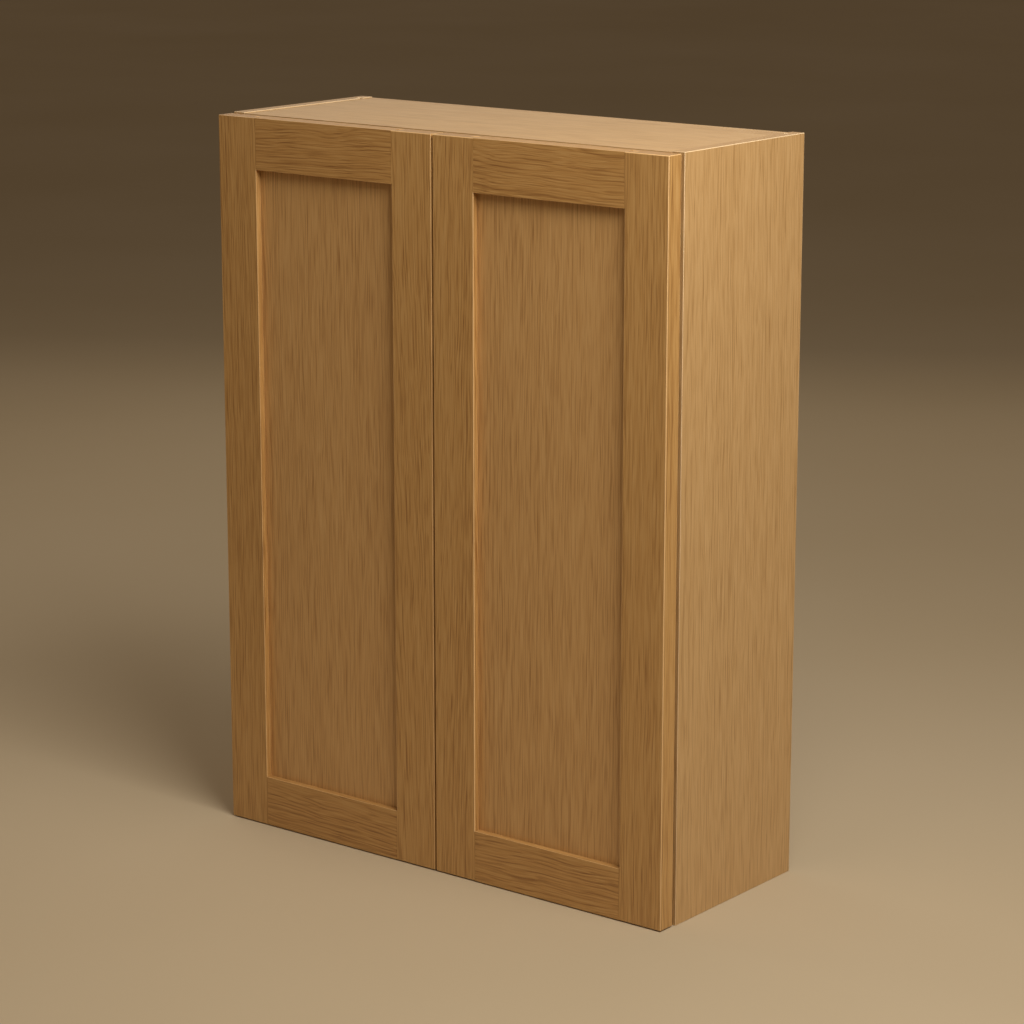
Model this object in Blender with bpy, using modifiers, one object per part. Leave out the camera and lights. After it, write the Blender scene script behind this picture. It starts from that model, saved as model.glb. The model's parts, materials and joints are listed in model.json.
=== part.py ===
"""Hanging wall cabinet with a frameless carcass and two full-overlay frame-and-panel doors.

Metres, +Z up. The front faces -Y and the wall is the plane y = 0. The origin is the middle of the top
hanging rail's back face, where the cabinet is fastened to the wall. Boards are placed by their height
above the cabinet's underside, and level() turns such a height into a Z coordinate.

Pieces near a door's hinged edge are drawn in a side frame: u runs inwards from the cabinet's outer side
face, v runs forwards from the carcass's front edge, and w is the vertical. Each door turns about one
upright pin that lies inside its hinge cups, clear of the side panel at every angle.
"""

import math

import bmesh
import bpy
from mathutils import Matrix, Vector

# Overall size of the carcass.
WIDTH = 0.686
HEIGHT = 0.914
CARCASS_DEPTH = 0.243
CLEARANCE = 0.0003

# Carcass boards.
SIDE_THICKNESS = 0.018
BOARD_THICKNESS = 0.018
TOP_DROP = 0.0012
BACK_THICKNESS = 0.006
BACK_GROOVE_DEPTH = 0.008
BACK_EDGE_PLAY = 0.001
HANGING_RAIL_HEIGHT = 0.076
HANGING_RAIL_THICKNESS = 0.018

# Shelves, their pins and the rows of holes they plug into.
SHELF_THICKNESS = 0.018
SHELF_END_PLAY = 0.001
SHELF_SETBACK = 0.020
SHELF_BACK_PLAY = 0.002
HOLE_PITCH = 0.032
FIRST_HOLE_HEIGHT = 0.096
LOWER_SHELF_HOLE = 6
UPPER_SHELF_HOLE = 15
HOLES_EACH_WAY = 2
HOLE_ROW_INSET = 0.037
HOLE_RADIUS = 0.0025
HOLE_DEPTH = 0.012
PIN_HEAD_RADIUS = 0.003
PIN_HEAD_LENGTH = 0.009

# Doors.
DOOR_THICKNESS = 0.024
DOOR_GAP = 0.005
DOOR_EDGE_REVEAL = 0.001
DOOR_END_REVEAL = 0.0015
DOOR_MIDDLE_GAP = 0.003
STILE_WIDTH = 0.061
DOOR_RAIL_HEIGHT = 0.064
PANEL_THICKNESS = 0.006
PANEL_RECESS = 0.009
PANEL_EDGE_PLAY = 0.0015
GROOVE_DEPTH = 0.009
TONGUE_SHORT_OF_GROOVE = 0.0005
BUMPER_RADIUS = 0.004
BUMPER_CROWN_RADIUS = 0.0024
BUMPER_INSET = 0.022

# Hinges.
HINGE_INSET = 0.095
PIVOT_FROM_EDGE = 0.008
PIVOT_DEPTH_IN_DOOR = 0.0088
PIN_RADIUS = 0.0011
CUP_RADIUS = 0.0175
CUP_FROM_EDGE = 0.0035
CUP_DEPTH = 0.013
CUP_WALL = 0.001
FLANGE_RADIUS = 0.019
FLANGE_THICKNESS = 0.0015
EAR_HALF_LENGTH = 0.027
EAR_WIDTH = 0.013
EAR_OFFSET = 0.0095
CHEEK_THICKNESS = 0.0025
CHEEK_REACH = 0.0032
ARM_HALF_WIDTH = 0.005
ARM_PLAY = 0.0005
ARM_LENGTH = 0.062
ARM_BAR_THICKNESS = 0.0085
ARM_RISE_DEG = 8.0
ARM_SHOULDER_SETBACK = 0.0044
ARM_SHOULDER_RUN = 0.0044
ARM_HEEL_CHAMFER = 0.0044
STRAP_THICKNESS = 0.0022
STRAP_BEND_RADIUS = 0.0026
KNUCKLE_RADIUS = 0.0022
PLATE_THICKNESS = 0.0037
PLATE_SETBACK = 0.020
PLATE_LENGTH = 0.036
PLATE_HALF_HEIGHT = 0.008
WING_HALF_LENGTH = 0.023
WING_HALF_WIDTH = 0.008
SCREW_SPREAD = 0.016
SCREW_RADIUS = 0.0022
SCREW_HEAD_RADIUS = 0.004
SCREW_CROWN_RADIUS = 0.003
SCREW_HEAD_HEIGHT = 0.0016

# Round pieces and holes.
PIN_SIDES = 12
CUP_SIDES = 32
BEND_STEPS = 6
KNUCKLE_STEPS = 12
WELD_DISTANCE = 0.00001

# Plain finishes: colour, roughness, metallic.
BEECH = ((0.46, 0.26, 0.11), 0.45, 0.0)
PLYWOOD = ((0.52, 0.34, 0.17), 0.55, 0.0)
NICKEL = ((0.60, 0.59, 0.57), 0.30, 1.0)
RUBBER = ((0.70, 0.68, 0.62), 0.60, 0.0)

# Places that follow from the sizes above.
LEFT = -1
RIGHT = 1
INNER_HALF_WIDTH = WIDTH / 2 - SIDE_THICKNESS
BOARD_LENGTH = 2 * (INNER_HALF_WIDTH - CLEARANCE)
TOP_FACE_HEIGHT = HEIGHT - TOP_DROP
TOP_UNDERSIDE_HEIGHT = TOP_FACE_HEIGHT - BOARD_THICKNESS
TOP_RAIL_MIDDLE = TOP_UNDERSIDE_HEIGHT - CLEARANCE - HANGING_RAIL_HEIGHT / 2
BOTTOM_RAIL_MIDDLE = BOARD_THICKNESS + CLEARANCE + HANGING_RAIL_HEIGHT / 2
WALL = -CARCASS_DEPTH
BACK_GROOVE_REAR = WALL + HANGING_RAIL_THICKNESS
BACK_GROOVE_FRONT = BACK_GROOVE_REAR + BACK_THICKNESS + 2 * CLEARANCE
BACK_PANEL_FRONT = HANGING_RAIL_THICKNESS + CLEARANCE + BACK_THICKNESS

DOOR_HEIGHT = HEIGHT - 2 * DOOR_END_REVEAL
DOOR_INNER_EDGE = (WIDTH - DOOR_MIDDLE_GAP) / 2
DOOR_FRONT = DOOR_GAP + DOOR_THICKNESS
DOOR_RAIL_LENGTH = DOOR_INNER_EDGE - DOOR_EDGE_REVEAL - 2 * (STILE_WIDTH + CLEARANCE)
DOOR_MIDDLE = (DOOR_INNER_EDGE + DOOR_EDGE_REVEAL) / 2
PANEL_FRONT = DOOR_FRONT - PANEL_RECESS
PANEL_BACK = PANEL_FRONT - PANEL_THICKNESS
PANEL_GROOVE = (PANEL_BACK - CLEARANCE, PANEL_FRONT + CLEARANCE)

PIVOT_U = DOOR_EDGE_REVEAL + PIVOT_FROM_EDGE
PIVOT_V = DOOR_GAP + PIVOT_DEPTH_IN_DOOR
CUP_MIDDLE = DOOR_EDGE_REVEAL + CUP_FROM_EDGE + CUP_RADIUS
CUP_BORE_RADIUS = CUP_RADIUS + CLEARANCE
CUP_BORE_DEPTH = CUP_DEPTH + CLEARANCE
CUP_CAVITY_RADIUS = CUP_RADIUS - CUP_WALL
PIN_HOLE_RADIUS = PIN_RADIUS + CLEARANCE
PLATE_BACK = SIDE_THICKNESS + CLEARANCE
ARM_BACK = PLATE_BACK + PLATE_THICKNESS + CLEARANCE
HINGE_HEIGHTS = {"lower": HINGE_INSET, "upper": HEIGHT - HINGE_INSET}
SHELF_HOLES = {"lower": LOWER_SHELF_HOLE, "upper": UPPER_SHELF_HOLE}


def level(height):
    """Z coordinate of a height above the cabinet's underside."""
    return height - TOP_RAIL_MIDDLE


def hole_height(index):
    return FIRST_HOLE_HEIGHT + index * HOLE_PITCH


def side_name(side):
    return "left" if side == LEFT else "right"


def side_frame(side, height):
    """Frame with X along u and Y along v, at the carcass's front edge and a height."""
    frame = Matrix(((-side, 0, 0), (0, -1, 0), (0, 0, side))).to_4x4()
    frame.translation = (side * WIDTH / 2, -CARCASS_DEPTH, level(height))
    return frame


def section_frame(x, height):
    """Frame with X along v and Y up, for a section that is drawn out along the cabinet's width."""
    frame = Matrix(((0, 0, -1), (-1, 0, 0), (0, 1, 0))).to_4x4()
    frame.translation = (x, -CARCASS_DEPTH, level(height))
    return frame


def inward_frame(side, u, v, height):
    """Frame whose Z points inwards from a side panel."""
    place = side_frame(side, height) @ Vector((u, v, 0))
    frame = Vector((-side, 0, 0)).to_track_quat("Z", "Y").to_matrix().to_4x4()
    frame.translation = place
    return frame


def arc(centre, radius, start_deg, end_deg, count):
    """Points along a round stretch of an outline."""
    angles = [math.radians(start_deg + (end_deg - start_deg) * step / count) for step in range(count + 1)]
    return [(centre[0] + radius * math.cos(a), centre[1] + radius * math.sin(a)) for a in angles]


def circle(centre, radius, sides):
    return arc(centre, radius, 0, 360, sides)[:-1]


def clear_scene():
    for old in list(bpy.data.objects):
        bpy.data.objects.remove(old, do_unlink=True)


def new_object(name, mesh, frame):
    obj = bpy.data.objects.new(name, mesh)
    obj.matrix_world = frame
    bpy.context.scene.collection.objects.link(obj)
    return obj


def box(name, low, high):
    """Box between two corners, with its origin in its middle."""
    size = Vector(high) - Vector(low)
    mesh = bpy.data.meshes.new(name)
    form = bmesh.new()
    bmesh.ops.create_cube(form, size=1.0, matrix=Matrix.Diagonal((*size, 1.0)))
    form.to_mesh(mesh)
    form.free()
    return new_object(name, mesh, Matrix.Translation((Vector(high) + Vector(low)) / 2))


def cylinders(name, radius, depth, sides, frames):
    """Cylinders in one object, each rising from its frame's origin along the frame's Z."""
    mesh = bpy.data.meshes.new(name)
    form = bmesh.new()
    for frame in frames:
        bmesh.ops.create_cone(
            form, cap_ends=True, segments=sides, radius1=radius, radius2=radius, depth=depth,
            matrix=frames[0].inverted() @ frame @ Matrix.Translation((0, 0, depth / 2)),
        )
    form.to_mesh(mesh)
    form.free()
    return new_object(name, mesh, frames[0])


def cylinder(name, radius, depth, sides, frame):
    return cylinders(name, radius, depth, sides, [frame])


def extruded(name, outline, holes, thickness, frame):
    """Flat outline with holes, drawn out by half its thickness each way along the frame's Z."""
    curve = bpy.data.curves.new(name, "CURVE")
    curve.dimensions = "2D"
    curve.fill_mode = "BOTH"
    curve.extrude = thickness / 2
    for points in [outline, *holes]:
        spline = curve.splines.new("POLY")
        spline.points.add(len(points) - 1)
        for point, (x, y) in zip(spline.points, points):
            point.co = (x, y, 0, 1)
        spline.use_cyclic_u = True
    flat = new_object(name, curve, Matrix.Identity(4))
    bpy.context.view_layer.update()
    mesh = bpy.data.meshes.new_from_object(flat.evaluated_get(bpy.context.evaluated_depsgraph_get()))
    bpy.data.objects.remove(flat, do_unlink=True)
    form = bmesh.new()
    form.from_mesh(mesh)
    bmesh.ops.remove_doubles(form, verts=form.verts, dist=WELD_DISTANCE)
    bmesh.ops.recalc_face_normals(form, faces=form.faces)
    form.to_mesh(mesh)
    form.free()
    return new_object(name, mesh, frame)


def turned(name, profile, sides, frame):
    """Profile of (radius, height) points, from its top down, turned about the frame's Z."""
    mesh = bpy.data.meshes.new(name)
    form = bmesh.new()
    verts = [form.verts.new((radius, 0, height)) for radius, height in profile]
    for first, second in zip(verts, verts[1:]):
        form.edges.new((first, second))
    form.to_mesh(mesh)
    form.free()
    obj = new_object(name, mesh, frame)
    lathe = obj.modifiers.new("Turn", "SCREW")
    lathe.steps = sides
    lathe.render_steps = sides
    lathe.use_merge_vertices = True
    lathe.merge_threshold = WELD_DISTANCE
    lathe.use_smooth_shade = True
    return obj


def combine(obj, tool, operation):
    """Join a tool to an object or cut it away, and remove the tool."""
    bpy.context.view_layer.update()
    step = obj.modifiers.new(operation.title(), "BOOLEAN")
    step.operation = operation
    step.solver = "EXACT"
    step.object = tool
    bpy.context.view_layer.update()
    mesh = bpy.data.meshes.new_from_object(obj.evaluated_get(bpy.context.evaluated_depsgraph_get()))
    mesh.name = obj.name
    obj.modifiers.clear()
    obj.data = mesh
    bpy.data.objects.remove(tool, do_unlink=True)


def finish(obj, look, collection, parent=None):
    """Give a piece its own material, file it in the cabinet's collection and hang it on its axis."""
    colour, roughness, metallic = look
    material = bpy.data.materials.new(obj.name)
    material.use_nodes = True
    shader = material.node_tree.nodes["Principled BSDF"]
    shader.inputs["Base Color"].default_value = (*colour, 1.0)
    shader.inputs["Roughness"].default_value = roughness
    shader.inputs["Metallic"].default_value = metallic
    obj.data.materials.clear()
    obj.data.materials.append(material)
    for old in list(obj.users_collection):
        old.objects.unlink(obj)
    collection.objects.link(obj)
    if parent is not None:
        bpy.context.view_layer.update()
        place = obj.matrix_world.copy()
        obj.parent = parent
        obj.matrix_parent_inverse = parent.matrix_world.inverted()
        obj.matrix_world = place
    return obj


def shelf_pin_places():
    """Distance v of the front and rear rows of shelf holes."""
    front = -HOLE_ROW_INSET
    rear = -(CARCASS_DEPTH - BACK_PANEL_FRONT - HOLE_ROW_INSET)
    return {"front": front, "rear": rear}


def plate_screw_v():
    """Distance v of the line of screws that holds the hinge plates."""
    return -(PLATE_SETBACK + PLATE_LENGTH / 2)


def side_panel(side, collection):
    """Full-height side with a through groove for the back, shelf holes and hinge screw holes."""
    name = f"{side_name(side)}_side_panel"
    inner = SIDE_THICKNESS
    floor = inner - BACK_GROOVE_DEPTH
    outline = [
        (0, WALL), (inner, WALL), (inner, BACK_GROOVE_REAR), (floor, BACK_GROOVE_REAR),
        (floor, BACK_GROOVE_FRONT), (inner, BACK_GROOVE_FRONT), (inner, 0), (0, 0),
    ]
    panel = extruded(name, outline, [], HEIGHT, side_frame(side, HEIGHT / 2))
    holes = []
    for index in SHELF_HOLES.values():
        for step in range(-HOLES_EACH_WAY, HOLES_EACH_WAY + 1):
            holes += [(v, hole_height(index + step)) for v in shelf_pin_places().values()]
    for height in HINGE_HEIGHTS.values():
        holes += [(plate_screw_v(), height + sign * SCREW_SPREAD) for sign in (-1, 1)]
    start = inner - HOLE_DEPTH
    frames = [inward_frame(side, start, v, height) for v, height in holes]
    combine(panel, cylinders("drills", HOLE_RADIUS, 2 * HOLE_DEPTH, PIN_SIDES, frames), "DIFFERENCE")
    return finish(panel, BEECH, collection)


def grooved_board(name, height, groove_up, collection):
    """Top or bottom board between the sides, grooved for the back panel on its inner face."""
    inner = BOARD_THICKNESS / 2 if groove_up else -BOARD_THICKNESS / 2
    floor = inner - math.copysign(BACK_GROOVE_DEPTH, inner)
    outline = [
        (WALL, -inner), (0, -inner), (0, inner), (BACK_GROOVE_FRONT, inner),
        (BACK_GROOVE_FRONT, floor), (BACK_GROOVE_REAR, floor), (BACK_GROOVE_REAR, inner), (WALL, inner),
    ]
    board = extruded(name, outline, [], BOARD_LENGTH, section_frame(0, height))
    return finish(board, BEECH, collection)


def back_panel(collection):
    reach = BACK_GROOVE_DEPTH - BACK_EDGE_PLAY
    half_width = INNER_HALF_WIDTH + reach
    back = -(HANGING_RAIL_THICKNESS + CLEARANCE)
    low = (-half_width, back - BACK_THICKNESS, level(BOARD_THICKNESS - reach))
    high = (half_width, back, level(TOP_UNDERSIDE_HEIGHT + reach))
    return finish(box("back_panel", low, high), PLYWOOD, collection)


def hanging_rail(name, middle, collection):
    half = Vector((BOARD_LENGTH / 2, HANGING_RAIL_THICKNESS / 2, HANGING_RAIL_HEIGHT / 2))
    centre = Vector((0, -HANGING_RAIL_THICKNESS / 2, level(middle)))
    return finish(box(name, centre - half, centre + half), PLYWOOD, collection)


def shelf(which, collection):
    underside = hole_height(SHELF_HOLES[which]) + PIN_HEAD_RADIUS + CLEARANCE
    half_width = INNER_HALF_WIDTH - SHELF_END_PLAY
    low = (-half_width, -CARCASS_DEPTH + SHELF_SETBACK, level(underside))
    high = (half_width, -(BACK_PANEL_FRONT + SHELF_BACK_PLAY), level(underside + SHELF_THICKNESS))
    return finish(box(f"{which}_shelf", low, high), BEECH, collection)


def shelf_pin(which, side, row, collection):
    """Stepped pin: a shank in the side's hole and a thicker head under the shelf."""
    shank = HOLE_RADIUS - CLEARANCE
    profile = [
        (0, PIN_HEAD_LENGTH), (PIN_HEAD_RADIUS, PIN_HEAD_LENGTH), (PIN_HEAD_RADIUS, CLEARANCE),
        (shank, CLEARANCE), (shank, -(HOLE_DEPTH - CLEARANCE)), (0, -(HOLE_DEPTH - CLEARANCE)),
    ]
    name = f"{which}_shelf_pin_{side_name(side)}_{row}"
    frame = inward_frame(side, SIDE_THICKNESS, shelf_pin_places()[row], hole_height(SHELF_HOLES[which]))
    return finish(turned(name, profile, PIN_SIDES, frame), NICKEL, collection)


def door_axis(side, collection):
    """Empty on the door's hinge axis; every piece that swings hangs on it."""
    axis = bpy.data.objects.new(f"{side_name(side)}_door_axis", None)
    axis.location = side_frame(side, HEIGHT / 2) @ Vector((PIVOT_U, PIVOT_V, 0))
    collection.objects.link(axis)
    bpy.context.view_layer.update()
    return axis


def door_stile(side, inner, axis, collection):
    """Full-height stile, grooved along the edge that faces the panel."""
    name = f"{side_name(side)}_door_{'inner' if inner else 'outer'}_stile"
    plain = DOOR_INNER_EDGE if inner else DOOR_EDGE_REVEAL
    grooved = plain - STILE_WIDTH if inner else plain + STILE_WIDTH
    floor = grooved + GROOVE_DEPTH if inner else grooved - GROOVE_DEPTH
    groove_back, groove_front = PANEL_GROOVE
    outline = [
        (plain, DOOR_GAP), (grooved, DOOR_GAP), (grooved, groove_back), (floor, groove_back),
        (floor, groove_front), (grooved, groove_front), (grooved, DOOR_FRONT), (plain, DOOR_FRONT),
    ]
    stile = extruded(name, outline, [], DOOR_HEIGHT, side_frame(side, HEIGHT / 2))
    if not inner:
        floor_frame = cup_frame() @ Matrix.Translation((0, 0, -CUP_BORE_DEPTH))
        frames = [side_frame(side, height) @ floor_frame for height in HINGE_HEIGHTS.values()]
        bores = cylinders("bores", CUP_BORE_RADIUS, 2 * CUP_BORE_DEPTH, CUP_SIDES, frames)
        combine(stile, bores, "DIFFERENCE")
    return finish(stile, BEECH, collection, axis)


def door_rail(side, upper, axis, collection):
    """Rail between the stiles, grooved for the panel, with a stub tongue at each end."""
    name = f"{side_name(side)}_door_{'top' if upper else 'bottom'}_rail"
    plain = DOOR_RAIL_HEIGHT / 2 if upper else -DOOR_RAIL_HEIGHT / 2
    grooved = -plain
    floor = grooved + math.copysign(GROOVE_DEPTH, plain)
    groove_back, groove_front = PANEL_GROOVE
    outline = [
        (DOOR_GAP, plain), (DOOR_GAP, grooved), (groove_back, grooved), (groove_back, floor),
        (groove_front, floor), (groove_front, grooved), (DOOR_FRONT, grooved), (DOOR_FRONT, plain),
    ]
    end = DOOR_END_REVEAL + DOOR_RAIL_HEIGHT / 2
    frame = section_frame(side * (WIDTH / 2 - DOOR_MIDDLE), HEIGHT - end if upper else end)
    rail = extruded(name, outline, [], DOOR_RAIL_LENGTH, frame)
    shoulder = plain - math.copysign(TONGUE_SHORT_OF_GROOVE, plain)
    tongue_outline = [
        (PANEL_BACK, floor), (PANEL_FRONT, floor), (PANEL_FRONT, shoulder), (PANEL_BACK, shoulder),
    ]
    tongue_reach = CLEARANCE + GROOVE_DEPTH - TONGUE_SHORT_OF_GROOVE
    tongues = extruded("tongues", tongue_outline, [], DOOR_RAIL_LENGTH + 2 * tongue_reach, frame)
    combine(rail, tongues, "UNION")
    return finish(rail, BEECH, collection, axis)


def door_panel(side, axis, collection):
    """Flat panel that floats in the grooves of the frame."""
    reach = GROOVE_DEPTH - PANEL_EDGE_PLAY
    half_width = DOOR_RAIL_LENGTH / 2 + CLEARANCE + reach
    half_height = DOOR_HEIGHT / 2 - DOOR_RAIL_HEIGHT + reach
    x = side * (WIDTH / 2 - DOOR_MIDDLE)
    half = Vector((half_width, PANEL_THICKNESS / 2, half_height))
    centre = Vector((x, -CARCASS_DEPTH - (PANEL_BACK + PANEL_FRONT) / 2, level(HEIGHT / 2)))
    name = f"{side_name(side)}_door_panel"
    return finish(box(name, centre - half, centre + half), BEECH, collection, axis)


def bumper(side, which, axis, collection):
    """Soft dot on the door's back that meets the carcass's front edge when the door is shut."""
    thick = DOOR_GAP - 2 * CLEARANCE
    profile = [
        (0, thick), (BUMPER_CROWN_RADIUS, thick), (BUMPER_RADIUS, thick / 2), (BUMPER_RADIUS, 0), (0, 0),
    ]
    middles = {"top": TOP_FACE_HEIGHT - BOARD_THICKNESS / 2, "bottom": BOARD_THICKNESS / 2}
    place = Vector((side * BUMPER_INSET, -CARCASS_DEPTH - DOOR_GAP + CLEARANCE, level(middles[which])))
    frame = Matrix.Translation(place) @ Vector((0, 1, 0)).to_track_quat("Z", "X").to_matrix().to_4x4()
    name = f"{side_name(side)}_door_{which}_bumper"
    return finish(turned(name, profile, PIN_SIDES, frame), RUBBER, collection, axis)


def cup_frame():
    """Frame at the middle of the cup's mouth, with Z pointing out of the mouth."""
    frame = Vector((0, -1, 0)).to_track_quat("Z", "X").to_matrix().to_4x4()
    frame.translation = (CUP_MIDDLE, DOOR_GAP, 0)
    return frame


def hinge_cup(side, which, axis, collection):
    """Cup let into the stile, with a screwed flange and two cheeks that hold the pivot pin."""
    name = f"{side_name(side)}_{which}_hinge_cup"
    frame = side_frame(side, HINGE_HEIGHTS[which])
    mouth = frame @ cup_frame()
    back = CLEARANCE
    front = back + FLANGE_THICKNESS
    cup = cylinder(name, FLANGE_RADIUS, FLANGE_THICKNESS, CUP_SIDES, mouth @ Matrix.Translation((0, 0, back)))
    ear_outline = [
        (CUP_MIDDLE + EAR_OFFSET + du * EAR_WIDTH / 2, DOOR_GAP - dv)
        for du, dv in ((-1, back), (1, back), (1, front), (-1, front))
    ]
    combine(cup, extruded("ears", ear_outline, [], 2 * EAR_HALF_LENGTH, frame), "UNION")
    body_frame = mouth @ Matrix.Translation((0, 0, -CUP_DEPTH))
    combine(cup, cylinder("body", CUP_RADIUS, CUP_DEPTH + front, CUP_SIDES, body_frame), "UNION")
    cavity_frame = mouth @ Matrix.Translation((0, 0, CUP_WALL - CUP_DEPTH))
    combine(cup, cylinder("cavity", CUP_CAVITY_RADIUS, 2 * CUP_DEPTH, CUP_SIDES, cavity_frame), "DIFFERENCE")
    inner = ARM_HALF_WIDTH + ARM_PLAY
    floor = DOOR_GAP + CUP_DEPTH - CUP_WALL / 2
    outer = inner + CHEEK_THICKNESS
    wall_u = CUP_MIDDLE - math.sqrt(CUP_CAVITY_RADIUS**2 - outer**2) - CUP_WALL / 2
    cheek_outline = [
        (wall_u, PIVOT_V - CHEEK_REACH), (PIVOT_U + CHEEK_REACH, PIVOT_V - CHEEK_REACH),
        (PIVOT_U + CHEEK_REACH, floor), (wall_u, floor),
    ]
    for sign in (-1, 1):
        cheek_frame = frame @ Matrix.Translation((0, 0, sign * (inner + CHEEK_THICKNESS / 2)))
        cheek = extruded("cheek", cheek_outline, [], CHEEK_THICKNESS, cheek_frame)
        combine(cup, cheek, "UNION")
    through = Matrix.Translation((PIVOT_U, PIVOT_V, -outer))
    pin_hole = cylinder("pin_hole", PIN_HOLE_RADIUS, 2 * outer, PIN_SIDES, frame @ through)
    combine(cup, pin_hole, "DIFFERENCE")
    return finish(cup, NICKEL, collection, axis)


def hinge_pin(side, which, axis, collection):
    """Upright pivot pin held in the cup's cheeks."""
    name = f"{side_name(side)}_{which}_hinge_pin"
    half = ARM_HALF_WIDTH + ARM_PLAY + CHEEK_THICKNESS
    frame = side_frame(side, HINGE_HEIGHTS[which]) @ Matrix.Translation((PIVOT_U, PIVOT_V, -half))
    return finish(cylinder(name, PIN_RADIUS, 2 * half, PIN_SIDES, frame), NICKEL, collection, axis)


def hinge_arm(side, which, collection):
    """Gooseneck arm: a knuckle round the pin, a strap out of the cup's mouth and a bar on the plate."""
    name = f"{side_name(side)}_{which}_hinge_arm"
    half = STRAP_THICKNESS / 2
    strap = ARM_BACK + half
    rise = math.radians(ARM_RISE_DEG)
    bend_u = strap - STRAP_BEND_RADIUS
    reach = (bend_u - STRAP_BEND_RADIUS * math.sin(rise) - PIVOT_U) / math.cos(rise)
    bend = (bend_u, PIVOT_V + reach * math.sin(rise) - STRAP_BEND_RADIUS * math.cos(rise))
    spread = math.degrees(math.asin(half / KNUCKLE_RADIUS))
    pivot = (PIVOT_U, PIVOT_V)
    heel = -ARM_LENGTH
    bar_front = ARM_BACK + ARM_BAR_THICKNESS
    shoulder = -ARM_SHOULDER_SETBACK
    outline = [(ARM_BACK, heel)]
    outline += arc(bend, STRAP_BEND_RADIUS - half, 0, 90 + ARM_RISE_DEG, BEND_STEPS)
    outline += arc(pivot, KNUCKLE_RADIUS, ARM_RISE_DEG - spread, ARM_RISE_DEG + spread - 360, KNUCKLE_STEPS)
    outline += arc(bend, STRAP_BEND_RADIUS + half, 90 + ARM_RISE_DEG, 0, BEND_STEPS)
    outline += [
        (strap + half, shoulder), (bar_front, shoulder - ARM_SHOULDER_RUN),
        (bar_front, heel + ARM_HEEL_CHAMFER), (strap + half, heel),
    ]
    hole = circle(pivot, PIN_HOLE_RADIUS, PIN_SIDES)
    frame = side_frame(side, HINGE_HEIGHTS[which])
    return finish(extruded(name, outline, [hole], 2 * ARM_HALF_WIDTH, frame), NICKEL, collection)


def hinge_plate(side, which, collection):
    """Cross-shaped plate screwed to the side panel, under the hinge arm."""
    name = f"{side_name(side)}_{which}_hinge_plate"
    middle = plate_screw_v()
    near, far = middle - PLATE_LENGTH / 2, middle + PLATE_LENGTH / 2
    left, right = middle - WING_HALF_WIDTH, middle + WING_HALF_WIDTH
    low, high = PLATE_HALF_HEIGHT, WING_HALF_LENGTH
    outline = [
        (near, -low), (left, -low), (left, -high), (right, -high), (right, -low), (far, -low),
        (far, low), (right, low), (right, high), (left, high), (left, low), (near, low),
    ]
    holes = [circle((middle, sign * SCREW_SPREAD), HOLE_RADIUS, PIN_SIDES) for sign in (-1, 1)]
    x = side * (WIDTH / 2 - PLATE_BACK - PLATE_THICKNESS / 2)
    frame = section_frame(x, HINGE_HEIGHTS[which])
    return finish(extruded(name, outline, holes, PLATE_THICKNESS, frame), NICKEL, collection)


def plate_screw(side, which, sign, collection):
    """Screw through the hinge plate into the side panel."""
    name = f"{side_name(side)}_{which}_plate_screw_{'low' if sign < 0 else 'high'}"
    head = PLATE_THICKNESS + 2 * CLEARANCE
    tip = -(HOLE_DEPTH - CLEARANCE)
    profile = [
        (0, head + SCREW_HEAD_HEIGHT), (SCREW_CROWN_RADIUS, head + SCREW_HEAD_HEIGHT),
        (SCREW_HEAD_RADIUS, head), (SCREW_RADIUS, head), (SCREW_RADIUS, tip), (0, tip),
    ]
    height = HINGE_HEIGHTS[which] + sign * SCREW_SPREAD
    frame = inward_frame(side, SIDE_THICKNESS, plate_screw_v(), height)
    return finish(turned(name, profile, PIN_SIDES, frame), NICKEL, collection)


def build_carcass(collection):
    for side in (LEFT, RIGHT):
        side_panel(side, collection)
    grooved_board("top_panel", TOP_FACE_HEIGHT - BOARD_THICKNESS / 2, False, collection)
    grooved_board("bottom_panel", BOARD_THICKNESS / 2, True, collection)
    back_panel(collection)
    hanging_rail("top_hanging_rail", TOP_RAIL_MIDDLE, collection)
    hanging_rail("bottom_hanging_rail", BOTTOM_RAIL_MIDDLE, collection)
    for which in SHELF_HOLES:
        shelf(which, collection)
        for side in (LEFT, RIGHT):
            for row in shelf_pin_places():
                shelf_pin(which, side, row, collection)


def build_door(side, collection):
    axis = door_axis(side, collection)
    for inner in (False, True):
        door_stile(side, inner, axis, collection)
    for upper in (False, True):
        door_rail(side, upper, axis, collection)
    door_panel(side, axis, collection)
    for which in ("top", "bottom"):
        bumper(side, which, axis, collection)
    for which in HINGE_HEIGHTS:
        hinge_cup(side, which, axis, collection)
        hinge_pin(side, which, axis, collection)
        hinge_arm(side, which, collection)
        hinge_plate(side, which, collection)
        for sign in (-1, 1):
            plate_screw(side, which, sign, collection)


def main():
    clear_scene()
    collection = bpy.data.collections.new("hanging_wall_cabinet")
    bpy.context.scene.collection.children.link(collection)
    build_carcass(collection)
    for side in (LEFT, RIGHT):
        build_door(side, collection)


main()
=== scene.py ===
"""Looks of a hanging wall cabinet: a veneered carcass and two frame-and-panel doors of honey-stained oak.

Every board takes its solid from the frame and has its arrises eased, tight where it meets a neighbour and
round where a hand can reach it. Each board is dressed with its own piece of a log, so that no two match.
Hinges, screws, shelf pins and bumpers are made here in detail. Lengths are in metres.
"""

from __future__ import annotations

import json
import logging
import math
from collections.abc import Callable, Iterable, Sequence
from dataclasses import dataclass, field
from enum import Enum
from functools import partial

import bmesh
import bpy
from mathutils import Euler, Matrix, Vector

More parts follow.
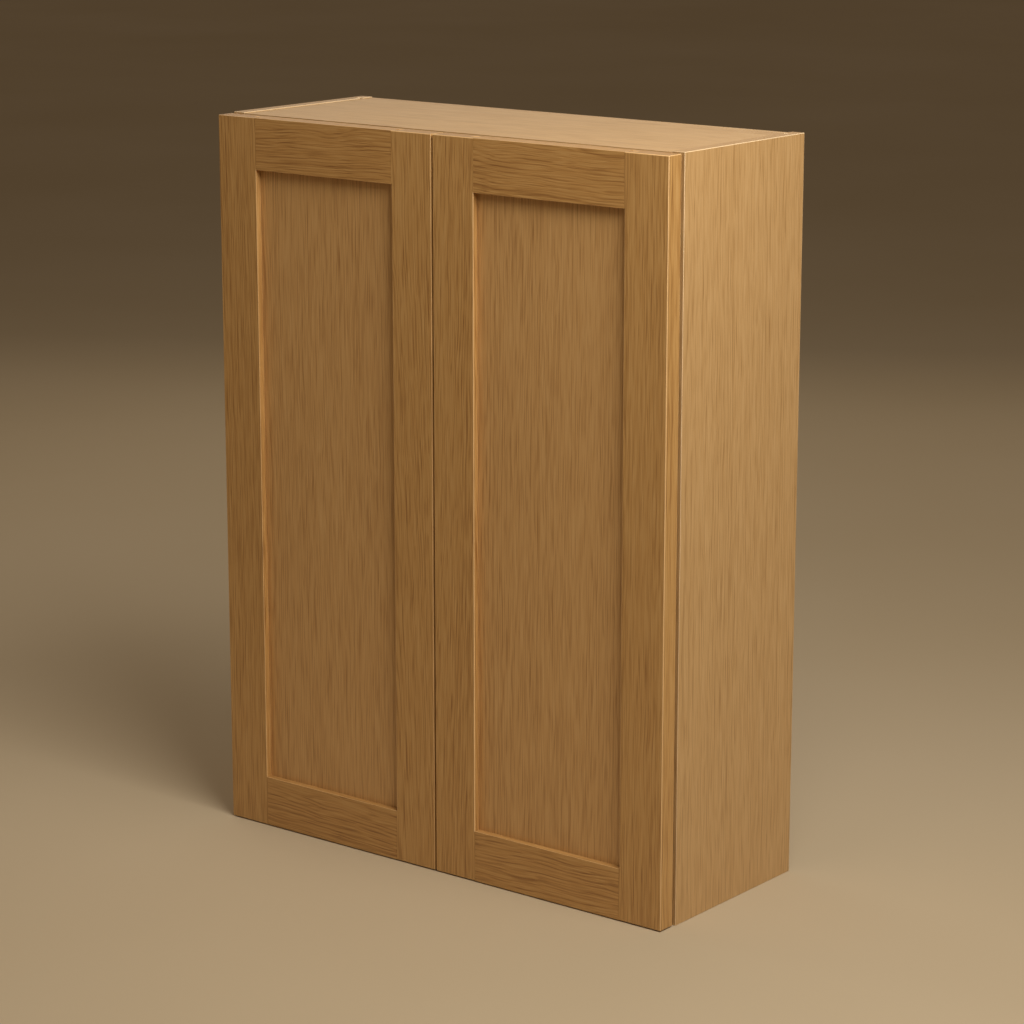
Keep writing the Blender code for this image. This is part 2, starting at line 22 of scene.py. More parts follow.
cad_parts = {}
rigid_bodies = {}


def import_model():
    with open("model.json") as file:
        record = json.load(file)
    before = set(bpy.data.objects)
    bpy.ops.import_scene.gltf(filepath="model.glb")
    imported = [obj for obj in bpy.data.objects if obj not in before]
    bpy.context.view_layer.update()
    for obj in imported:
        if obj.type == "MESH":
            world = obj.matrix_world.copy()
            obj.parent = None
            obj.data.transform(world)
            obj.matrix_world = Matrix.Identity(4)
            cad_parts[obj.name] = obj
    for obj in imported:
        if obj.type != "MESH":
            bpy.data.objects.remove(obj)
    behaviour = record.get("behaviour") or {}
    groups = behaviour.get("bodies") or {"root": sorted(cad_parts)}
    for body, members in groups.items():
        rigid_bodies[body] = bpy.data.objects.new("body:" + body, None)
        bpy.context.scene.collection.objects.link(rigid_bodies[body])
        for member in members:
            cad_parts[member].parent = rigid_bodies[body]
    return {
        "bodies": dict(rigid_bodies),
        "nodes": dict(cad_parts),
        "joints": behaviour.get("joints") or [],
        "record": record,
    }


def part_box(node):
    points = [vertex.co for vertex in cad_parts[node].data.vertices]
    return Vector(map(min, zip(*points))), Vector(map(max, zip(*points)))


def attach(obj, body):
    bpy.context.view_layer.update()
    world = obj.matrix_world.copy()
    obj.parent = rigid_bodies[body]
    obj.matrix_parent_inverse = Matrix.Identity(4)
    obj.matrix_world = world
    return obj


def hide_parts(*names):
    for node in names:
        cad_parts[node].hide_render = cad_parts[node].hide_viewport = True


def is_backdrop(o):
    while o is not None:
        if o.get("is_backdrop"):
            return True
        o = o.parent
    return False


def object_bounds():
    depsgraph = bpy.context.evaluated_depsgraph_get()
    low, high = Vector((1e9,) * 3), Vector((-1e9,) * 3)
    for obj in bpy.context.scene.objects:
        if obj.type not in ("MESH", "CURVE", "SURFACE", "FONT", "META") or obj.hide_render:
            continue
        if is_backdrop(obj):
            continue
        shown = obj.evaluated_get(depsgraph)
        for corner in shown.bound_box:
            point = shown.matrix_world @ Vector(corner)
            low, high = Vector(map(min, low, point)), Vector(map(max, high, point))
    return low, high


LOG = logging.getLogger("cabinet")

# Points nearer than this are one point.
WELD = 0.000005
# Faces within the flat angle are one face, and faces past the sharp angle keep a crease between them.
FLAT_ANGLE = math.radians(0.5)
SHARP_ANGLE = math.radians(40)
# An edge this near a plane lies in it, and one this near the middle plane lines the gap between the doors.
NEAR = 0.0006
MEETING = 0.003
# Shortest edge of a board that is eased, which leaves the rims of drilled holes crisp.
SHORTEST_EASED = 0.004
# Faces round a turned piece, and round a small one.
ROUND_STEPS = 32
SMALL_STEPS = 24
BEVEL_SEGMENTS = 3
# Largest part of a face's normal, past which the face is a planed one, square to the cabinet.
PLANED = 0.9999
# Darkness, from 0 to 1, at which wood shows its middle colour.
MIDDLE_DARKNESS = 0.45
# Height of the faint texture on steel and rubber.
SKIN_RELIEF = 0.00005
# Gap that keeps touching pieces apart, and the smaller one under a screw's head.
FRAME_GAP = 0.0003
HEAD_GAP = 0.0001

X = Vector((1, 0, 0))
Y = Vector((0, 1, 0))
Z = Vector((0, 0, 1))


class Side(Enum):
    """Which half of the cabinet a piece belongs to."""

    LEFT = -1
    RIGHT = 1

    @property
    def word(self) -> str:
        """The side's name, as the nodes spell it."""
        return self.name.lower()

    @property
    def inward(self) -> Vector:
        """Direction from this side towards the middle of the cabinet."""
        return X * -self.value


class Grain(Enum):
    """Which way a board's fibres run."""

    UPRIGHT = "upright"
    ACROSS = "across"

    @property
    def axis(self) -> Vector:
        """The fibres' direction."""
        return Z if self is Grain.UPRIGHT else X

    @property
    def to_log(self) -> Matrix:
        """Turn that brings the fibres' direction onto the log's axis, which is Z."""
        return Matrix.Identity(3) if self is Grain.UPRIGHT else Matrix.Rotation(math.radians(-90), 3, "Y")


# ---------------------------------------------------------------- materials


def linear(hex_colour: str) -> tuple[float, float, float, float]:
    """Turn an sRGB hex colour into linear light.

    Args:
        hex_colour: Six hex digits, red first.

    Returns:
        Red, green, blue and an alpha of 1.
    """
    parts = [int(hex_colour[i : i + 2], 16) / 255 for i in (0, 2, 4)]
    red, green, blue = (p / 12.92 if p <= 0.04045 else ((p + 0.055) / 1.055) ** 2.4 for p in parts)
    return (red, green, blue, 1.0)


def add_node(
    tree: bpy.types.NodeTree,
    kind: str,
    settings: dict[str, object] | None = None,
    inputs: dict[str | int, object] | None = None,
    stops: Sequence[tuple[float, tuple[float, float, float, float]]] = (),
) -> bpy.types.Node:
    """Add a node with its settings, its values or links, and a ramp's stops.

    Args:
        tree: Node tree that takes the node.
        kind: The node's type name.
        settings: Properties to set on the node.
        inputs: What each input gets: an output socket is linked, anything else is set as its value.
        stops: Positions and colours of a colour ramp.

    Returns:
        The new node.
    """
    node = tree.nodes.new(kind)
    for key, value in (settings or {}).items():
        setattr(node, key, value)
    for key, value in (inputs or {}).items():
        if isinstance(value, bpy.types.NodeSocket):
            tree.links.new(value, node.inputs[key])
        else:
            node.inputs[key].default_value = value
    for index, (position, colour) in enumerate(stops):
        ramp = node.color_ramp
        stop = ramp.elements[index] if index < len(ramp.elements) else ramp.elements.new(position)
        stop.position = position
        stop.color = colour
    return node


def arithmetic(tree: bpy.types.NodeTree, operation: str, *values: object) -> bpy.types.NodeSocket:
    """Result of a sum on linked or plain numbers."""
    return add_node(tree, "ShaderNodeMath", {"operation": operation}, dict(enumerate(values))).outputs[0]


def vectors(tree: bpy.types.NodeTree, operation: str, *values: object) -> bpy.types.NodeSocket:
    """Result of a sum on vectors: a number from a length or a dot product, otherwise a vector."""
    node = add_node(tree, "ShaderNodeVectorMath", {"operation": operation}, dict(enumerate(values)))
    return node.outputs["Value" if operation in ("LENGTH", "DOT_PRODUCT") else "Vector"]


def remapped(
    tree: bpy.types.NodeTree,
    value: bpy.types.NodeSocket,
    source: tuple[float, float],
    target: tuple[float, float] = (0.0, 1.0),
    smooth: bool = False,
) -> bpy.types.NodeSocket:
    """Carry a value from one range over to another.

    Args:
        tree: Node tree that takes the node.
        value: The value.
        source: Its range, which may run downwards.
        target: The range that it is carried to.
        smooth: Whether it eases in and out at the ends.

    Returns:
        The new value, kept within the target.
    """
    settings = {"interpolation_type": "SMOOTHSTEP"} if smooth else None
    return add_node(tree, "ShaderNodeMapRange", settings, {
        "Value": value, "From Min": source[0], "From Max": source[1], "To Min": target[0], "To Max": target[1],
    }).outputs[0]


def ramped(
    tree: bpy.types.NodeTree, value: bpy.types.NodeSocket, *stops: tuple[float, tuple[float, float, float, float]],
) -> bpy.types.NodeSocket:
    """Colour of a value on a ramp."""
    return add_node(tree, "ShaderNodeValToRGB", None, {"Fac": value}, stops).outputs["Color"]


def mixed(tree: bpy.types.NodeTree, share: bpy.types.NodeSocket, *colours: object) -> bpy.types.NodeSocket:
    """First colour, with a share of the second."""
    colour_inputs = dict(zip((6, 7), colours))
    return add_node(tree, "ShaderNodeMix", {"data_type": "RGBA"}, {0: share, **colour_inputs}).outputs[2]


def noise(
    tree: bpy.types.NodeTree, place: bpy.types.NodeSocket, scale: float, detail: float,
) -> bpy.types.NodeSocket:
    """Plain noise at a place, with a number of cells to a metre."""
    return add_node(tree, "ShaderNodeTexNoise", None, {
        "Vector": place, "Scale": scale, "Detail": detail,
    }).outputs[0]


def shaded(tree: bpy.types.NodeTree, inputs: dict[str, object]) -> None:
    """Add the surface shader with its inputs, and the output that it feeds."""
    shader = add_node(tree, "ShaderNodeBsdfPrincipled", None, inputs)
    add_node(tree, "ShaderNodeOutputMaterial", None, {"Surface": shader.outputs[0]})


def new_material(name: str) -> bpy.types.Material:
    """Make a material with an empty node tree."""
    material = bpy.data.materials.new(name)
    material.use_nodes = True
    material.node_tree.nodes.clear()
    return material


def grey(value: float) -> tuple[float, float, float, float]:
    """A grey ramp stop that carries a plain number."""
    return (value, value, value, 1.0)


@dataclass(frozen=True)
class Cut:
    """Where in its log a board was cut from.

    Attributes:
        pith: Distance from the heart of the log to the board's middle.
        turn: Angle of the growth rings to the board's face: 0 is flat sawn, 90 is quarter sawn.
        slope: How far the fibres stray from the board's length, in degrees.
        along: Place along the log, so that no two boards show the same stretch.
    """

    pith: float
    turn: float
    slope: float
    along: float


class Figure(Enum):
    """Sizes of a wood's patterns, across and along its fibres.

    A single vessel is finer than 0.1 mm, too fine to show, so vessels are drawn as dashes about a millimetre
    wide and as long as a finger.
    """

    LONG_BEND = (0.110, 0.600)
    SHORT_BEND = (0.034, 0.075)
    FADE = (0.016, 0.090)
    TONE = (0.070, 0.450)
    STREAK = (0.0040, 0.110)
    FIBRE = (0.0016, 0.048)
    VESSEL = (0.0014, 0.045)


@dataclass(frozen=True)
class Wood:
    """Lacquered wood as a solid pattern: growth rings round a log's heart, fibres and flecks along it.

    Attributes:
        name: The wood's common name and its surface.
        pale: Colour of the soft early wood.
        middle: Colour of most of the surface.
        dark: Colour of the dense late wood that ends each ring.
        arris: Colour of the painted highlight along the rounded arrises.
        ring: Width of a growth ring.
        ring_depth: How much darker late wood is, as a share of the colour range.
        streak_depth: How much darker a broad streak of fibres is.
        tone_depth: How much the tone drifts over the whole board.
        dash_depth: How much darker the vessels' dashes are.
        fibre_depth: How much fine bundles of fibres differ.
        wander: How far the rings stray over an arm's length.
        ripple: How far they stray over a hand's width.
        ply: Thickness of a veneer in plywood, or 0 for solid wood.
        coat: Strength of the clear lacquer.
        roughness: Roughness of the wood under its lacquer.
        relief_height: How far the fibres stand above the pores.
    """

    name: str
    pale: str
    middle: str
    dark: str
    arris: str
    ring: float = 0.0030
    ring_depth: float = 0.36
    streak_depth: float = 0.20
    tone_depth: float = 0.18
    dash_depth: float = 0.14
    fibre_depth: float = 0.78
    wander: float = 0.010
    ripple: float = 0.0035
    ply: float = 0.0
    coat: float = 0.30
    roughness: float = 0.46
    relief_height: float = 0.00030

    def material(
        self, piece: str, grain: Grain, face: Vector, middle: Vector, cut: Cut,
    ) -> bpy.types.Material:
        """Make the material of one board.

        Args:
            piece: The board's name.
            grain: Which way its fibres run.
            face: Outward direction of its show face.
            middle: The board's middle.
            cut: Where in its log it was cut from.

        Returns:
            A material that reads the piece's object coordinates.
        """
        material = new_material(f"{self.name}_{piece}")
        tree = material.node_tree
        place = add_node(tree, "ShaderNodeTexCoord")
        log = self.place_in_log(tree, place.outputs["Object"], grain, face, middle, cut)
        bent = log
        for figure, reach in ((Figure.LONG_BEND, self.wander), (Figure.SHORT_BEND, self.ripple)):
            slow = self.pattern(tree, log, figure, 1.0).outputs["Color"]
            bent = vectors(tree, "MULTIPLY_ADD", slow, (reach, reach, 0), bent)
        ring = self.rings(tree, log, bent)
        tone = self.pattern(tree, bent, Figure.TONE, 1.0).outputs[0]
        streak = self.pattern(tree, bent, Figure.STREAK, 1.0).outputs[0]
        fibre = self.pattern(tree, bent, Figure.FIBRE, 0.5).outputs[0]
        vessels = self.pattern(tree, bent, Figure.VESSEL, 0.0).outputs[0]
        dash = remapped(tree, vessels, (0.50, 0.66), smooth=True)

        # Darkness is the sum of the patterns, each with its depth and taken about its usual value.
        depths = (
            (ring, self.ring_depth, 0.20), (streak, self.streak_depth, 0.5), (fibre, self.fibre_depth, 0.5),
            (tone, self.tone_depth, 0.5), (dash, self.dash_depth, 0.30),
        )
        darkness = MIDDLE_DARKNESS - sum(depth * usual for _, depth, usual in depths)
        for socket, depth, _ in depths:
            darkness = arithmetic(tree, "MULTIPLY_ADD", socket, depth, darkness)
        if self.ply:
            darkness = self.plies(tree, place, face, middle, darkness)
        pale, usual_colour, dark = linear(self.pale), linear(self.middle), linear(self.dark)
        colour = ramped(tree, darkness, (0.0, pale), (MIDDLE_DARKNESS, usual_colour), (1.0, dark))
        colour = self.edges(tree, place.outputs["Normal"], grain, colour)

        # The dashes are open pores and the fibres stand a little proud, which makes the gloss uneven.
        relief = 0.0
        for socket, depth in ((fibre, 0.5), (ring, -0.25), (dash, -0.6)):
            relief = arithmetic(tree, "MULTIPLY_ADD", socket, depth, relief)
        bump = add_node(tree, "ShaderNodeBump", None, {
            "Height": relief, "Strength": 0.5, "Distance": self.relief_height,
        })
        gloss = remapped(tree, streak, (0.25, 0.75), (self.roughness - 0.05, self.roughness + 0.06))
        shaded(tree, {
            "Base Color": colour, "Roughness": gloss, "Normal": bump.outputs[0],
            "IOR": 1.5, "Coat Weight": self.coat, "Coat Roughness": 0.32, "Coat IOR": 1.5,
        })
        return material

    @staticmethod
    def place_in_log(
        tree: bpy.types.NodeTree,
        place: bpy.types.NodeSocket,
        grain: Grain,
        face: Vector,
        middle: Vector,
        cut: Cut,
    ) -> bpy.types.NodeSocket:
        """Carry a place in the cabinet over to the log that the board was sawn from.

        Args:
            tree: The material's node tree.
            place: Place in the cabinet.
            grain: Which way the board's fibres run.
            face: Outward direction of its show face.
            middle: The board's middle.
            cut: Where in its log it was cut from.

        Returns:
            Place in the log, whose heart is the Z axis.
        """
        stray = Euler((math.radians(cut.slope), math.radians(cut.slope / 2), 0)).to_matrix()
        turned = stray @ grain.to_log
        away = grain.to_log @ face
        turn = math.radians(cut.turn)
        target = (away * math.cos(turn) + Z.cross(away) * math.sin(turn)) * cut.pith + Z * cut.along
        return add_node(tree, "ShaderNodeMapping", {"vector_type": "POINT"}, {
            "Vector": place, "Location": target - turned @ middle, "Rotation": turned.to_euler(),
        }).outputs["Vector"]

    def rings(
        self, tree: bpy.types.NodeTree, log: bpy.types.NodeSocket, bent: bpy.types.NodeSocket,
    ) -> bpy.types.NodeSocket:
        """Draw growth rings of uneven width, each dark towards its outside.

        Args:
            tree: The material's node tree.
            log: Place in the log.
            bent: The same place, strayed as the rings do.

        Returns:
            How dark the late wood is, from 0 to 1.
        """
        radius = vectors(tree, "LENGTH", vectors(tree, "MULTIPLY", bent, (1, 1, 0)))
        count = arithmetic(tree, "DIVIDE", radius, self.ring)
        pace = add_node(tree, "ShaderNodeTexNoise", {"noise_dimensions": "1D"}, {
            "W": count, "Scale": 0.35, "Detail": 1.0,
        })
        year = arithmetic(tree, "MULTIPLY_ADD", pace.outputs[0], 3.0, count)
        late = ramped(
            tree, arithmetic(tree, "FRACT", year),
            (0.0, grey(0.5)), (0.12, grey(0.0)), (0.55, grey(0.1)), (0.88, grey(1.0)), (1.0, grey(0.5)),
        )
        # A ring is not equally dark all along: it fades in and out over a hand's length.
        vigour = self.pattern(tree, log, Figure.FADE, 1.0).outputs[0]
        return arithmetic(tree, "MULTIPLY", late, remapped(tree, vigour, (0.35, 0.65), (0.45, 1.0)))

    def edges(
        self, tree: bpy.types.NodeTree, normal: bpy.types.NodeSocket, grain: Grain, colour: bpy.types.NodeSocket,
    ) -> bpy.types.NodeSocket:
        """Darken end grain, which drinks more stain, and lighten the arrises with a painted highlight.

        Args:
            tree: The material's node tree.
            normal: Direction that the surface faces.
            grain: Which way the board's fibres run.
            colour: Colour of the board's faces.

        Returns:
            Colour of the whole board.
        """
        end = arithmetic(tree, "ABSOLUTE", vectors(tree, "DOT_PRODUCT", normal, grain.axis))
        colour = mixed(tree, remapped(tree, end, (0.80, 1.0), (0.0, 0.35)), colour, linear(self.dark))
        parts = add_node(tree, "ShaderNodeSeparateXYZ", None, {0: vectors(tree, "ABSOLUTE", normal)}).outputs
        most = arithmetic(tree, "MAXIMUM", arithmetic(tree, "MAXIMUM", parts[0], parts[1]), parts[2])
        # Painted highlight: where the normal leans off the cabinet's axes, on the rounded arrises, the colour is
        # mixed towards the pale arris colour.
        painted_arris_highlight = remapped(tree, most, (0.985, 0.90), (0.0, 0.90), smooth=True)
        return mixed(tree, painted_arris_highlight, colour, linear(self.arris))

    @staticmethod
    def pattern(
        tree: bpy.types.NodeTree, place: bpy.types.NodeSocket, figure: Figure, detail: float,
    ) -> bpy.types.Node:
        """Noise drawn out along the log.

        Args:
            tree: The material's node tree.
            place: Place in the log.
            figure: Size of its cells.
            detail: How many finer layers it has.

        Returns:
            The noise node.
        """
        across, along = figure.value
        stretched = vectors(tree, "MULTIPLY", place, (1 / across, 1 / across, 1 / along))
        return add_node(tree, "ShaderNodeTexNoise", {"noise_dimensions": "3D"}, {
            "Vector": stretched, "Scale": 1.0, "Detail": detail, "Roughness": 0.55,
        })

    def plies(
        self,
        tree: bpy.types.NodeTree,
        place: bpy.types.Node,
        face: Vector,
        middle: Vector,
        darkness: bpy.types.NodeSocket,
    ) -> bpy.types.NodeSocket:
        """Draw crossed veneers on the edges of a plywood board.

        Args:
            tree: The material's node tree.
            place: Its texture coordinate node.
            face: Outward direction of the board's face.
            middle: The board's middle.
            darkness: Darkness of the wood before the plies.

        Returns:
            Darkness with every other veneer darker, on the edges only.
        """
        lift = vectors(tree, "DOT_PRODUCT", place.outputs["Object"], face)
        stack = arithmetic(tree, "SUBTRACT", lift, middle.dot(face) - self.ply / 2)
        veneer = arithmetic(tree, "PINGPONG", stack, self.ply)
        cross = remapped(tree, veneer, (self.ply * 0.42, self.ply * 0.58), (0.0, 0.5))
        flat = arithmetic(tree, "ABSOLUTE", vectors(tree, "DOT_PRODUCT", place.outputs["Normal"], face))
        edge = arithmetic(tree, "LESS_THAN", flat, 0.5)
        return arithmetic(tree, "ADD", darkness, arithmetic(tree, "MULTIPLY", cross, edge))


@dataclass(frozen=True)
class Metal:
    """Plated steel: a bright skin with faint rolling marks and a slightly uneven gloss.

    Attributes:
        name: The metal and how its surface was made.
        colour: Colour of the plating.
        shade: Its duller patches.
        roughness: Its middle roughness.
        mark: Width of a rolling mark.
    """

    name: str
    colour: str
    shade: str
    roughness: float
    mark: float

    def material(self) -> bpy.types.Material:
        """Make the plating's material, shared by all pieces that have it."""
        material = new_material(self.name)
        tree = material.node_tree
        place = add_node(tree, "ShaderNodeTexCoord").outputs["Object"]
        drawn = vectors(tree, "MULTIPLY", place, (1 / self.mark, 0.08 / self.mark, 1 / self.mark))
        marks = noise(tree, drawn, 1.0, 3.0)
        cloud = noise(tree, place, 0.2 / self.mark, 2.0)
        bump = add_node(tree, "ShaderNodeBump", None, {"Height": marks, "Strength": 0.15, "Distance": SKIN_RELIEF})
        shaded(tree, {
            "Base Color": ramped(tree, cloud, (0.35, linear(self.shade)), (0.65, linear(self.colour))),
            "Metallic": 1.0,
            "Roughness": remapped(tree, marks, (0.3, 0.7), (self.roughness - 0.05, self.roughness + 0.08)),
            "Normal": bump.outputs[0],
        })
        return material


@dataclass(frozen=True)
class Rubber:
    """Cast polyurethane, cloudy and slightly tacky, as on stick-on door bumpers."""

    name: str = "cast_polyurethane"
    colour: str = "D9D6CB"
    shade: str = "BDB9AC"
    grain: float = 0.0012

    def material(self) -> bpy.types.Material:
        """Make the bumpers' material."""
        material = new_material(self.name)
        tree = material.node_tree
        cloud = noise(tree, add_node(tree, "ShaderNodeTexCoord").outputs["Object"], 1 / self.grain, 2.0)
        bump = add_node(tree, "ShaderNodeBump", None, {"Height": cloud, "Strength": 0.1, "Distance": SKIN_RELIEF})
        shaded(tree, {
            "Base Color": ramped(tree, cloud, (0.3, linear(self.shade)), (0.7, linear(self.colour))),
            "Roughness": 0.35, "IOR": 1.49, "Transmission Weight": 0.45, "Normal": bump.outputs[0],
        })
        return material


@dataclass(frozen=True)
class Paper:
    """Matt studio paper, pale and even, with a faint cloud in its tone."""

    name: str = "studio_paper"
    colour: str = "C0B095"
    shade: str = "BAA98C"
    cloud: float = 1.4

    def material(self) -> bpy.types.Material:
        """Make the floor's material."""
        material = new_material(self.name)
        tree = material.node_tree
        cloud = noise(tree, add_node(tree, "ShaderNodeTexCoord").outputs["Object"], 1 / self.cloud, 3.0)
        shaded(tree, {
            "Base Color": ramped(tree, cloud, (0.3, linear(self.shade)), (0.7, linear(self.colour))),
            "Roughness": 0.85, "Specular IOR Level": 0.2,
        })
        return material


# Each wood's arris colour is the painted highlight laid along its rounded edges.
# Solid oak with a honey stain under satin lacquer: warm, its vessels fine brown dashes along close rings.
DOOR_WOOD = Wood("stained_oak", pale="D0A76C", middle="C19457", dark="8A5C2A", arris="E6C08A")
# Rails are flat sawn, so their rings wander more across the face.
RAIL_WOOD = Wood(
    "stained_oak_flat_sawn", pale="CCA266", middle="BC8E51", dark="845728", arris="E6C08A",
    ring_depth=0.40, wander=0.012, ripple=0.0065,
)
# Sliced veneer on the door panels: straight grain, even in colour, a little lighter than the frames.
PANEL_WOOD = Wood(
    "stained_oak_veneer", pale="D8B077", middle="C99D63", dark="946736", arris="F0CE9C",
    ring=0.0034, ring_depth=0.24, streak_depth=0.14, tone_depth=0.14, dash_depth=0.12,
    wander=0.008, ripple=0.0036,
)
# Veneered carcass boards: the same veneer, drawn lighter and less warm than the doors' wood.
CARCASS_WOOD = Wood(
    "oak_veneer", pale="D3AF7C", middle="C69F6A", dark="99713F", arris="F7DDB4",
    ring=0.0044, ring_depth=0.28, streak_depth=0.16, tone_depth=0.14, dash_depth=0.12, ripple=0.0045,
)
# Sanded birch plywood, clear sealed: pale, quiet figure, crossed veneers of 1.4 mm on its edges.
PLYWOOD = Wood(
    "birch_plywood", pale="DFC79E", middle="D2B587", dark="B08F5E", arris="E3CDA6",
    ring=0.011, ring_depth=0.30, dash_depth=0.12, wander=0.030, ripple=0.0090,
    ply=0.0014, coat=0.05, roughness=0.60,
)
# Nickel-plated pressed steel: warm grey, satin.
NICKEL = Metal("nickel_plated_steel", colour="C9C5BD", shade="B4B0A8", roughness=0.28, mark=0.0006)
# Zinc-plated screws: cooler and a little duller than the hinges.
ZINC = Metal("zinc_plated_steel", colour="BFC2C4", shade="A3A7AA", roughness=0.34, mark=0.0004)


# ---------------------------------------------------------------- mesh helpers


def finished(name: str, form: bmesh.types.BMesh) -> bpy.types.Object:
    """Turn a bmesh into a linked object at the origin, smooth but for its sharp edges.

    Args:
        name: The piece's name.
        form: The mesh, in place. It is freed.

    Returns:
        The new object.
    """
    for face in form.faces:
        face.smooth = True
    mesh = bpy.data.meshes.new(name)
    form.to_mesh(mesh)
    form.free()
    obj = bpy.data.objects.new(name, mesh)
    bpy.context.scene.collection.objects.link(obj)
    return obj


def mark_sharp(form: bmesh.types.BMesh) -> None:
    """Keep a crease wherever two faces meet at more than the sharp angle."""
    for edge in form.edges:
        if len(edge.link_faces) == 2 and edge.calc_face_angle() > SHARP_ANGLE:
            edge.smooth = False


def lathe(
    name: str, profile: Sequence[tuple[float, float]], frame: Matrix, steps: int = ROUND_STEPS,
) -> bpy.types.Object:
    """Spin a profile about an axis.

    Args:
        name: The piece's name.
        profile: Radius and height of each point, with its first and last on the axis.
        frame: Place of the axis, which is the frame's Z.
        steps: Number of faces round the axis.

    Returns:
        The closed piece.
    """
    form = bmesh.new()
    verts = [form.verts.new((radius, 0, height)) for radius, height in profile]
    edges = [form.edges.new(pair) for pair in zip(verts, verts[1:])]
    bmesh.ops.spin(
        form, geom=[*verts, *edges], cent=(0, 0, 0), axis=Z, angle=math.tau, steps=steps, use_merge=True,
    )
    bmesh.ops.remove_doubles(form, verts=form.verts, dist=WELD)
    bmesh.ops.recalc_face_normals(form, faces=form.faces)
    mark_sharp(form)
    bmesh.ops.transform(form, matrix=frame, verts=form.verts)
    return finished(name, form)


def rounded(
    middle: tuple[float, float], radius: float, start: float, end: float, steps: int = 4,
) -> list[tuple[float, float]]:
    """Points of a round corner in a profile, from one angle to another in degrees."""
    angles = [math.radians(start + (end - start) * step / steps) for step in range(steps + 1)]
    return [(middle[0] + radius * math.cos(a), middle[1] + radius * math.sin(a)) for a in angles]


def quarter(count: int) -> Matrix:
    """Turn by a number of quarter turns in the plane."""
    return Matrix.Rotation(math.radians(90 * count), 2)


def aimed(place: Vector, direction: Vector) -> Matrix:
    """Frame at a place whose Z points in a direction."""
    frame = direction.to_track_quat("Z", "Y").to_matrix().to_4x4()
    frame.translation = place
    return frame


def apply_modifiers(obj: bpy.types.Object) -> None:
    """Replace a piece's mesh with what its modifiers make of it."""
    bpy.context.view_layer.update()
    mesh = bpy.data.meshes.new_from_object(obj.evaluated_get(bpy.context.evaluated_depsgraph_get()))
    obj.modifiers.clear()
    obj.data = mesh
    mesh.name = obj.name


def cut_away(obj: bpy.types.Object, tool: bpy.types.Object) -> None:
    """Cut a tool's shape out of a piece, and remove the tool."""
    step = obj.modifiers.new("Cut", "BOOLEAN")
    step.operation = "DIFFERENCE"
    step.solver = "EXACT"
    step.object = tool
    apply_modifiers(obj)
    bpy.data.objects.remove(tool, do_unlink=True)


def shade_planed(obj: bpy.types.Object) -> None:
    """Apply a board's modifiers, then shade its planed faces flat and its arrises and bores smooth."""
    apply_modifiers(obj)
    for face in obj.data.polygons:
        face.use_smooth = max(abs(part) for part in face.normal) < PLANED


def place_of(node: str) -> tuple[Vector, Vector, Vector]:
    """Lowest corner, highest corner and middle of a node."""
    low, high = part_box(node)
    return low, high, (low + high) / 2


def settle(
    piece: bpy.types.Object,
    material: bpy.types.Material,
    body: str,
    replaced: Iterable[str] = (),
) -> bpy.types.Object:
    """Dress a piece, hang it on its body and say what it stands for.

    Args:
        piece: The finished piece.
        material: Its material.
        body: The body it moves with.
        replaced: Nodes that it stands for.

    Returns:
        The piece.
    """
    piece.data.materials.clear()
    piece.data.materials.append(material)
    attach(piece, body)
    names = list(replaced)
    if names:
        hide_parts(*names)
    LOG.info("%s rides on %s", piece.name, body)
    return piece


@dataclass
class Eased:
    """The solid of a node, merged, with its arrises rounded.

    Attributes:
        node: The node it stands for.
        radius: Radius of an edge that a hand can reach.
        shortest: Edges shorter than this stay crisp, as the rims of small drilled holes do.
        splits: Planes that part a long edge, each a point and a direction.
        share: Tells what part of the radius an edge has, from its two ends; 0 leaves it crisp.
        planed: Whether its faces are flat boards' faces, or bent and turned ones as on a hinge.
    """

    node: str
    radius: float
    shortest: float = 0.0
    splits: Sequence[tuple[Vector, Vector]] = ()
    share: Callable[[Vector, Vector], float] = lambda first, second: 1.0
    planed: bool = True

    def build(self, solid: bpy.types.Object) -> bpy.types.Object:
        """Make the piece.

        Args:
            solid: The node's object, which is only read.

        Returns:
            The piece.
        """
        form = bmesh.new()
        form.from_mesh(solid.data)
        bmesh.ops.remove_doubles(form, verts=form.verts, dist=WELD)
        bmesh.ops.dissolve_limit(form, angle_limit=FLAT_ANGLE, verts=form.verts, edges=form.edges)
        for point, direction in self.splits:
            whole = [*form.verts, *form.edges, *form.faces]
            bmesh.ops.bisect_plane(form, geom=whole, dist=WELD, plane_co=point, plane_no=direction)
        weights = form.edges.layers.float.new("bevel_weight_edge")
        for edge in form.edges:
            if len(edge.link_faces) != 2 or edge.calc_face_angle() < SHARP_ANGLE:
                continue
            share = self.share(*(vert.co for vert in edge.verts))
            if edge.is_convex and edge.calc_length() >= self.shortest and share > 0:
                edge[weights] = share
            else:
                edge.smooth = False
        piece = finished(f"{self.node}_eased", form)
        bevel = piece.modifiers.new("Eased arrises", "BEVEL")
        bevel.limit_method = "WEIGHT"
        bevel.width = self.radius
        bevel.segments = BEVEL_SEGMENTS
        bevel.profile = 0.5
        if self.planed:
            shade_planed(piece)
        else:
            shading = piece.modifiers.new("Flat faces", "WEIGHTED_NORMAL")
            shading.mode = "FACE_AREA"
            shading.weight = 100
            shading.keep_sharp = True
        return piece


# ---------------------------------------------------------------- sub-assemblies


@dataclass
class Board:
    """One board: which node it stands for, how it was cut and which way it faces."""

    node: str
    wood: Wood
    grain: Grain
    face: Vector
    cut: Cut

    def material(self) -> bpy.types.Material:
        """Make the board's own material."""
        return self.wood.material(self.node, self.grain, self.face, place_of(self.node)[2], self.cut)


